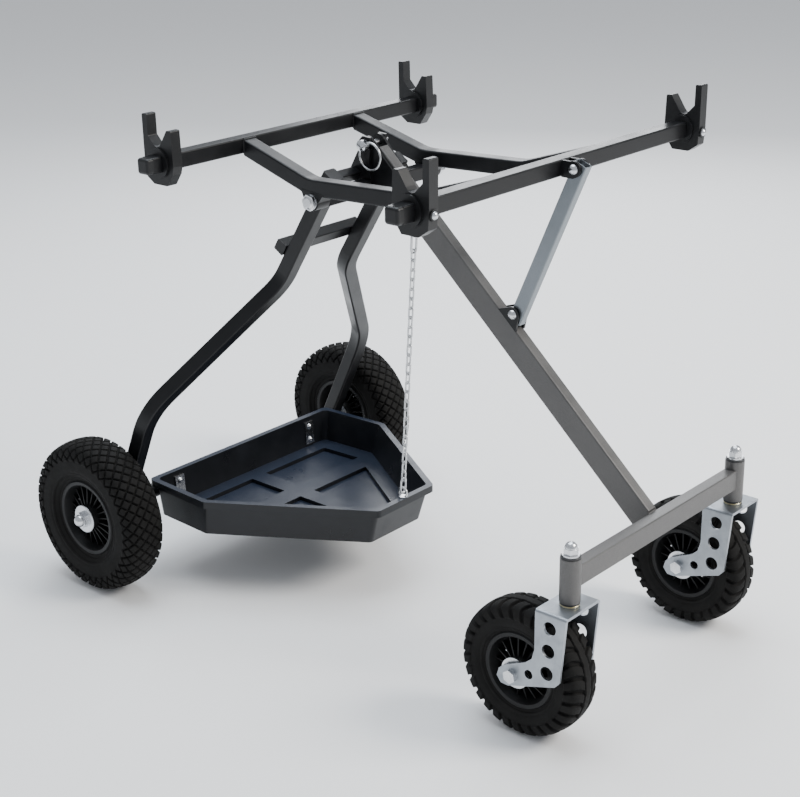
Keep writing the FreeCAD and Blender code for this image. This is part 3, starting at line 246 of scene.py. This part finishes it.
MAT = {}
for n in ("rear_bar", "front_bar", "side_rails", "pivot_lugs", "rear_leg_left", "rear_leg_right", "pivot_tubes", "lock_crossbar",
          "lock_hooks", "middle_crossbar", "axle_tube", "strut_ears", "leg_cheeks"):
    MAT[n] = M_BLACK
for n in ("front_leg", "caster_bar", "chain_anchor"):
    MAT[n] = M_GREY
MAT["kingpin_sleeves"] = M_GREY
MAT["strut_tube"] = M_SILVER
for n in ("bar_end_caps", "tube_caps", "cradle_rear_left", "cradle_rear_right", "cradle_front_left", "cradle_front_right"):
    MAT[n] = M_PLAST
for n in ("tray_pan", "tray_clamps"):
    MAT[n] = M_TRAY
for n in ("rear_rim_left", "rear_rim_right", "front_rim_left", "front_rim_right"):
    MAT[n] = M_RIM
for n in ("rear_tyre_left", "rear_tyre_right"):
    MAT[n] = M_TYRE_R
for n in ("front_tyre_left", "front_tyre_right"):
    MAT[n] = M_TYRE_F
MAT["kingpin_bushes"] = M_NYLON
for n in ("fork_left", "fork_right"):
    MAT[n] = M_FORK
for n in ("pivot_bolt", "strut_bolts", "lock_pin", "axle_nuts", "kingpin_left", "kingpin_right", "caster_axle_left", "caster_axle_right",
          "cradle_screw_rear_left", "cradle_screw_rear_right", "cradle_screw_front_left", "cradle_screw_front_right", "tray_fixings"):
    MAT[n] = M_BOLT
for n in ("chain_links", "chain_end_links", "tray_eye", "pin_ring"):
    MAT[n] = M_CHAIN
for n, o in N.items():
    m = MAT.get(n, M_ZINC)
    o.data.materials.clear()
    o.data.materials.append(m)


# ---------------------------------------------------------------- mesh helpers
def mesh_obj(name, verts, faces, mat, smooth=True, body=None):
    me = bpy.data.meshes.new(name)
    me.from_pydata([tuple(v) for v in verts], [], [tuple(f) for f in faces])
    me.update()
    o = bpy.data.objects.new(name, me)
    bpy.context.scene.collection.objects.link(o)
    me.materials.append(mat)
    if smooth:
        me.polygons.foreach_set("use_smooth", [True] * len(me.polygons))
    if body:
        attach(o, body)
    return o


def catmull(pts, per):
    """Smooth curve through pts, sampled evenly along its length."""
    p = np.array(pts, float)
    p = np.vstack([2 * p[0] - p[1], p, 2 * p[-1] - p[-2]])
    out = []
    for i in range(1, len(p) - 2):
        for t in np.linspace(0, 1, 40, endpoint=False):
            a, b, c, d = p[i - 1], p[i], p[i + 1], p[i + 2]
            out.append(0.5 * ((2 * b) + (-a + c) * t + (2 * a - 5 * b + 4 * c - d) * t * t + (-a + 3 * b - 3 * c + d) * t ** 3))
    out.append(p[-2])
    out = np.array(out)
    s = np.concatenate([[0], np.cumsum(np.linalg.norm(np.diff(out, axis=0), axis=1))])
    q = np.linspace(0, s[-1], per)
    return np.stack([np.interp(q, s, out[:, k]) for k in range(2)], 1), q - s[-1] / 2


def smooth01(x, a, b):
    t = np.clip((x - a) / (b - a), 0, 1)
    return t * t * (3 - 2 * t)


def tyre_mesh(name, crown, half_w, bead_r, bead_x, height, mat, nu=150, nv=900):
    """Ring tyre: the profile runs bead to bead; height(s, a, total) is mm of relief along the outward normal (never above 0)."""
    R, W, H = crown, half_w, crown - bead_r
    pts = [(-bead_x, bead_r), (-bead_x - 2, bead_r + 0.10 * H), (-W * 0.97, bead_r + 0.30 * H), (-W, bead_r + 0.47 * H),
           (-W * 0.985, bead_r + 0.66 * H), (-W * 0.88, bead_r + 0.86 * H), (-W * 0.58, bead_r + 0.96 * H), (0, R)]
    full = pts + [(-a, b) for a, b in reversed(pts[:-1])]
    prof, s = catmull(full, nu)
    prof[:, 0] = np.clip(prof[:, 0], -W, W)
    prof[:, 1] = np.minimum(prof[:, 1], R)
    tan = np.gradient(prof, axis=0)
    tan /= np.linalg.norm(tan, axis=1)[:, None]
    nrm = np.stack([-tan[:, 1], tan[:, 0]], 1)
    if nrm[nu // 2, 1] < 0:
        nrm = -nrm
    A = np.linspace(0, 2 * math.pi, nv, endpoint=False)
    S, AA = np.meshgrid(s, A, indexing="ij")
    RR = np.repeat(prof[:, 1][:, None], nv, 1)
    h = height(S, AA, RR)
    X = prof[:, 0][:, None] + nrm[:, 0][:, None] * h
    Rr = prof[:, 1][:, None] + nrm[:, 1][:, None] * h
    # inner lip rows that close the tyre under the rim's flange
    xs = np.vstack([np.full((1, nv), -(bead_x - 6.0)), X, np.full((1, nv), bead_x - 6.0)])
    rs = np.vstack([np.full((1, nv), bead_r - 1.5), Rr, np.full((1, nv), bead_r - 1.5)])
    aa = np.repeat(A[None, :], xs.shape[0], 0)
    V = np.stack([xs, np.sin(aa) * rs * -1.0, np.cos(aa) * rs], -1).reshape(-1, 3) / 1000.0
    n0, n1 = xs.shape
    i = np.arange(n0 - 1)[:, None]
    j = np.arange(n1)[None, :]
    a = i * n1 + j
    b = i * n1 + (j + 1) % n1
    c = (i + 1) * n1 + (j + 1) % n1
    d = (i + 1) * n1 + j
    F = np.stack([a, d, c, b], -1).reshape(-1, 4)
    me = bpy.data.meshes.new(name)
    me.vertices.add(len(V))
    me.vertices.foreach_set("co", V.astype(np.float32).ravel())
    me.loops.add(F.size)
    me.loops.foreach_set("vertex_index", F.astype(np.int32).ravel())
    me.polygons.add(len(F))
    me.polygons.foreach_set("loop_start", np.arange(0, F.size, 4, dtype=np.int32))
    me.polygons.foreach_set("use_smooth", np.ones(len(F), bool))
    me.update(calc_edges=True)
    me.validate()
    me.materials.append(mat)
    return me


def rear_height(S, A, RR):
    """Diamond blocks over crown and shoulders, a stepped sidewall ring."""
    pitch_s = 21.0
    n_a = 40
    u = S / pitch_s
    v = A * n_a / (2 * math.pi)
    p, q = u + v, u - v
    dp = np.abs(p - np.round(p))
    dq = np.abs(q - np.round(q))
    edge = np.minimum(dp, dq)
    top = smooth01(edge, 0.075, 0.125)
    lim = 53.0
    inside = 1 - smooth01(np.abs(S), lim, lim + 2.0)
    depth = 4.4
    h = -depth * (1 - top) * inside
    side = np.abs(S)
    # the carcass steps down below the tread, with a raised ring and a groove by the bead
    h = h - 1.6 * smooth01(side, lim, lim + 1.5)
    h = h + 1.2 * (smooth01(side, 76, 77.5) * (1 - smooth01(side, 80.5, 82)))
    h = h - 1.0 * (smooth01(side, 88, 89.2) * (1 - smooth01(side, 91.0, 92.2)))
    return np.minimum(h, 0.0)


def front_height(S, A, RR):
    """Curved cross lugs either side of a centre rib."""
    n_a = 30
    side = np.abs(S)
    sgn = np.sign(S)
    sweep = 0.16 * np.sin(np.clip(side / 44.0, 0, 1) * math.pi) + side * 0.0035
    v = (A + sweep * 0.55 + 0.5 * (sgn > 0) * 2 * math.pi / n_a) * n_a / (2 * math.pi)
    d = np.abs(v - np.round(v))
    lug = smooth01(d, 0.13, 0.20)
    rib = 1 - smooth01(side, 5.0, 6.2)
    groove_rib = smooth01(side, 6.0, 7.0) * (1 - smooth01(side, 8.2, 9.2))
    notch = smooth01(np.abs(side - 24.0), 1.0, 1.8)
    lim = 43.0
    inside = 1 - smooth01(side, lim, lim + 2.0)
    top = np.maximum(np.minimum(lug, 1 - 0.55 * groove_rib * 0), rib)
    top = top * (1 - 0.8 * groove_rib * (1 - rib))
    h = -4.6 * (1 - top) * inside
    h = h - 1.5 * smooth01(side, lim, lim + 1.5)
    h = h + 1.1 * (smooth01(side, 60, 61.2) * (1 - smooth01(side, 63.5, 64.7)))
    h = h - 0.9 * (smooth01(side, 69, 70) * (1 - smooth01(side, 71.5, 72.5)))
    return np.minimum(h, 0.0)


REAR = tyre_mesh("tyre_rear_mesh", 129.9, 38.0, 62.0, 27.0, rear_height, M_TYRE_R, 190, 1080)
FRONT = tyre_mesh("tyre_front_mesh", 102.6, 30.9, 56.0, 24.0, front_height, M_TYRE_F, 160, 912)
W = {}
for nm, s in (("left", -1), ("right", 1)):
    for kind, me, x, y, z in (("rear", REAR, 0.311, 0.5005 - YS, 0.130), ("front", FRONT, 0.216, -0.3226 - YS, 0.1027)):
        if s > 0:
            me = me.copy()
            me.transform(Matrix.Rotation(math.pi, 4, "Z") @ Matrix.Rotation(0.3, 4, "X"))
        o = bpy.data.objects.new("%s_tyre_tread_%s" % (kind, nm), me)
        bpy.context.scene.collection.objects.link(o)
        o.location = (s * x, y, z)
        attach(o, "%s_wheel_%s" % (kind, nm))
        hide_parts("%s_tyre_%s" % (kind, nm))


# ---------------------------------------------------------------- rims
def lathe(profile, n, center, closed=True):
    """Ring of revolution about X: profile is (x, r) in mm."""
    V, F = [], []
    k = len(profile)
    for i in range(n):
        a = 2 * math.pi * i / n
        for x, r in profile:
            V.append((center[0] + x / 1000, center[1] - math.sin(a) * r / 1000, center[2] + math.cos(a) * r / 1000))
    for i in range(n):
        j = (i + 1) % n
        for q in range(k if closed else k - 1):
            p = (q + 1) % k
            F.append((i * k + q, i * k + p, j * k + p, j * k + q))
    return V, F


def add(V, F, v2, f2):
    o = len(V)
    V += list(v2)
    F += [tuple(i + o for i in f) for f in f2]


def fin(center, sx, ang, r0, r1, x0a, x1a, x0b, x1b, th):
    """Radial rib: from x0a..x1a at r0 to x0b..x1b at r1, th thick."""
    V = []
    for w in (-th / 2, th / 2):
        for x, r in ((x0a, r0), (x1a, r0), (x1b, r1), (x0b, r1)):
            y, z = w, r
            yy = y * math.cos(ang) - z * math.sin(ang)
            zz = y * math.sin(ang) + z * math.cos(ang)
            V.append((center[0] + sx * x / 1000, center[1] + yy / 1000, center[2] + zz / 1000))
    F = [(0, 1, 2, 3), (7, 6, 5, 4), (0, 4, 5, 1), (1, 5, 6, 2), (2, 6, 7, 3), (3, 7, 4, 0)]
    return V, F


def dome_bolt(center, sx, ang, rad, x, r, h):
    V, F = [], []
    cy = center[1] * 1000 - math.sin(ang) * rad
    cz = center[2] * 1000 + math.cos(ang) * rad
    rings = [(0.0, r), (h * 0.35, r), (h * 0.75, r * 0.75), (h, r * 0.35)]
    n = 16
    for dx, rr in rings:
        for i in range(n):
            a = 2 * math.pi * i / n
            V.append((center[0] + sx * (x + dx) / 1000, (cy + rr * math.cos(a)) / 1000, (cz + rr * math.sin(a)) / 1000))
    for q in range(len(rings) - 1):
        for i in range(n):
            j = (i + 1) % n
            F.append((q * n + i, q * n + j, (q + 1) * n + j, (q + 1) * n + i))
    F.append(tuple((len(rings) - 1) * n + i for i in range(n)))
    return V, F


def rim(kind, nm, center, bead_r, bead_x, hub_half, hub_r, web_r, n_fin, bolt_r):
    c = center
    prof = [(-bead_x - 1.5, bead_r + 1.0), (-bead_x + 0.5, bead_r + 3.0), (-bead_x + 2.5, bead_r - 0.5), (0, bead_r - 2.0), (bead_x - 2.5, bead_r - 0.5), (bead_x - 0.5, bead_r + 3.0), (bead_x + 1.5, bead_r + 1.0),
            (bead_x + 1.0, bead_r - 4.5), (bead_x - 3.0, bead_r - 7.0), (12.0, bead_r - 10.0), (5.0, bead_r - 14.0), (3.5, web_r), (4.5, hub_r + 6.0), (8.0, hub_r + 2.5), (hub_half - 2.0, hub_r + 0.6), (hub_half, hub_r - 0.8),
            (hub_half, hub_r - 5.0), (hub_half - 6.0, hub_r - 5.0)]
    prof = prof + [(-a, b) for a, b in reversed(prof[7:])]
    V, F = lathe(prof, 96, c)
    for sx in (-1, 1):
        for k in range(n_fin):
            a = 2 * math.pi * (k + 0.5) / n_fin
            v, f = fin(c, sx, a, hub_r + 1.0, bead_r - 8.5, 3.0, hub_half - 9.0, 3.0, 14.5, 2.0)
            add(V, F, v, f)
    o = mesh_obj("%s_rim_dish_%s" % (kind, nm), V, F, M_RIM, True, "%s_wheel_%s" % (kind, nm))
    try:
        o.data.set_sharp_from_angle(angle=math.radians(32))
    except Exception:
        pass
    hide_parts("%s_rim_%s" % (kind, nm))
    V, F = [], []
    for sx in (-1, 1):
        for k in range(4):
            a = 2 * math.pi * (k + 0.35) / 4
            v, f = dome_bolt(c, sx, a, bolt_r, 6.0, 5.0, 1.2)
            add(V, F, v, f)
            v, f = dome_bolt(c, sx, a, bolt_r, 7.0, 3.6, 7.0)
            add(V, F, v, f)
    b = mesh_obj("%s_rim_bolts_%s" % (kind, nm), V, F, M_BOLT, True, "%s_wheel_%s" % (kind, nm))
    b.data.set_sharp_from_angle(angle=math.radians(40))


for nm, s in (("left", -1), ("right", 1)):
    rim("rear", nm, (s * 0.311, 0.5005 - YS, 0.130), 62.0, 27.0, 30.0, 21.0, 40.0, 20, 38.0)
    rim("front", nm, (s * 0.216, -0.3226 - YS, 0.1027), 56.0, 24.0, 30.0, 19.0, 36.0, 18, 34.0)


# ---------------------------------------------------------------- welds, washers, wire clip
def bead(name, pts, r, mat, body, closed=True, ripple=0.22, period=3.2):
    """Rippled bead along a polyline of points in mm (layout Y)."""
    P = [Vector(p) for p in pts]
    if closed:
        P.append(P[0])
    path = []
    for a, b in zip(P[:-1], P[1:]):
        n = max(2, int((b - a).length / 0.8))
        path += [(a + (b - a) * (i / n), (b - a).normalized()) for i in range(n)]
    if not closed:
        path.append((P[-1], (P[-1] - P[-2]).normalized()))
    V, F, k, run = [], [], 10, 0.0
    for i, (p, d) in enumerate(path):
        if i:
            run += (p - path[i - 1][0]).length
        ref = Vector((0, 0, 1)) if abs(d.z) < 0.9 else Vector((1, 0, 0))
        a = d.cross(ref).normalized()
        b = d.cross(a).normalized()
        rr = r * (1 - ripple * abs(math.sin(math.pi * run / period)))
        for j in range(k):
            t = 2 * math.pi * j / k
            q = p + a * (rr * math.cos(t)) + b * (rr * math.sin(t))
            V.append((q.x / 1000, q.y / 1000 - YS, q.z / 1000))
    m = len(path)
    for i in range(m if closed else m - 1):
        i2 = (i + 1) % m
        for j in range(k):
            j2 = (j + 1) % k
            F.append((i * k + j, i * k + j2, i2 * k + j2, i2 * k + j))
    if not closed:
        F.append(tuple(range(k - 1, -1, -1)))
        F.append(tuple((m - 1) * k + j for j in range(k)))
    return mesh_obj(name, V, F, mat, True, body)


for s, sn in ((-1, "left"), (1, "right")):
    for tag, xc, yj, zc, hh in (("rear", 124.4, 291.6, 744.2, 13.0), ("front", 130.0, -191.1, 756.7, 13.1)):
        x0, x1 = s * xc - 12.5, s * xc + 12.5
        lo = max(zc - hh, 736.0 if tag == "rear" else 748.8)
        hi = min(zc + hh, 759.2 if tag == "rear" else 772.0)
        bead("weld_rail_%s_%s" % (tag, sn), [(x0, yj, lo), (x1, yj, lo), (x1, yj, hi), (x0, yj, hi)], 2.0, M_BLACK, "frame")
    bead("washer_sleeve_%s" % sn, [(s * 216.0 + 13.0 * math.cos(t * math.pi / 16), -389.5 + 13.0 * math.sin(t * math.pi / 16), 221.4) for t in range(32)],
         1.3, M_WASH, "caster_" + sn, ripple=0.0)
bead("weld_leg_foot", [(-10.2, -379.3, 246.6), (10.2, -379.3, 246.6), (10.2, -379.3, 277.4), (-10.2, -379.3, 277.4)], 1.9, M_GREY, "frame")
PX1 = max((N["lock_pin"].matrix_world @ v.co).x for v in N["lock_pin"].data.vertices) * 1000
bead("pin_wire_clip", [(PX1 - 3.0, 139.5, 752.0), (PX1 - 3.0, 152.5, 752.0), (PX1 - 2.4, 157.0, 747.0), (PX1 - 2.0, 156.0, 736.0), (PX1 - 2.2, 150.0, 728.5), (PX1 - 2.8, 143.5, 732.0)],
     0.9, M_CHAIN, "pull_pin", closed=False, ripple=0.0)


# ---------------------------------------------------------------- stage, light, camera
def area(name, loc, target, size, power, color=(1, 1, 1)):
    L = bpy.data.lights.new(name, "AREA")
    L.shape = "RECTANGLE"
    L.size, L.size_y = size
    L.energy = power
    L.color = color
    o = bpy.data.objects.new(name, L)
    bpy.context.scene.collection.objects.link(o)
    o.location = loc
    d = Vector(target) - Vector(loc)
    o.rotation_euler = d.to_track_quat("-Z", "Y").to_euler()
    return o


me = bpy.data.meshes.new("floor")
S = 14.0
me.from_pydata([(-S, -S, 0), (S, -S, 0), (S, S, 0), (-S, S, 0)], [], [(0, 1, 2, 3)])
floor = bpy.data.objects.new("floor", me)
bpy.context.scene.collection.objects.link(floor)
fl = bpy.data.materials.new("floor_pale")
fl.use_nodes = True
fl.node_tree.nodes["Principled BSDF"].inputs["Base Color"].default_value = (0.93, 0.93, 0.93, 1)
fl.node_tree.nodes["Principled BSDF"].inputs["Roughness"].default_value = 0.9
me.materials.append(fl)

world = bpy.data.worlds.new("world")
bpy.context.scene.world = world
world.use_nodes = True
bg = world.node_tree.nodes["Background"]
bg.inputs["Color"].default_value = (0.90, 0.94, 1.0, 1)
bg.inputs["Strength"].default_value = 0.62

area("key", (1.5, -3.1, 2.9), (0, 0, 0.4), (1.5, 1.5), 175, (1.0, 0.965, 0.91))
area("sky", (0.3, 0.6, 3.8), (0, 0, 0.3), (3.0, 3.0), 150, (0.86, 0.93, 1.0))
area("rim_light", (2.6, 1.6, 1.8), (0, 0, 0.5), (1.6, 1.6), 40, (0.95, 0.97, 1.0))

cam_d = bpy.data.cameras.new("cam")
cam = bpy.data.objects.new("cam", cam_d)
bpy.context.scene.collection.objects.link(cam)
bpy.context.scene.camera = cam
yaw, pitch, roll = 0.8512, 0.3641, -0.0149
fwd = Vector((math.sin(yaw) * math.cos(pitch), math.cos(yaw) * math.cos(pitch), -math.sin(pitch)))
right = Vector((math.cos(yaw), -math.sin(yaw), 0))
up = right.cross(fwd)
r2 = right * math.cos(roll) + up * math.sin(roll)
u2 = -right * math.sin(roll) + up * math.cos(roll)
m = Matrix.Identity(4)
for i in range(3):
    m[i][0], m[i][1], m[i][2] = r2[i], u2[i], -fwd[i]
m[0][3], m[1][3], m[2][3] = -1.8463, -1.5174 - YS, 1.2732
cam.matrix_world = m
cam_d.sensor_width = 36.0
cam_d.sensor_fit = "HORIZONTAL"
cam_d.lens = 1630.9 / 800.0 * 36.0
cam_d.clip_start = 0.05
cam_d.clip_end = 60.0
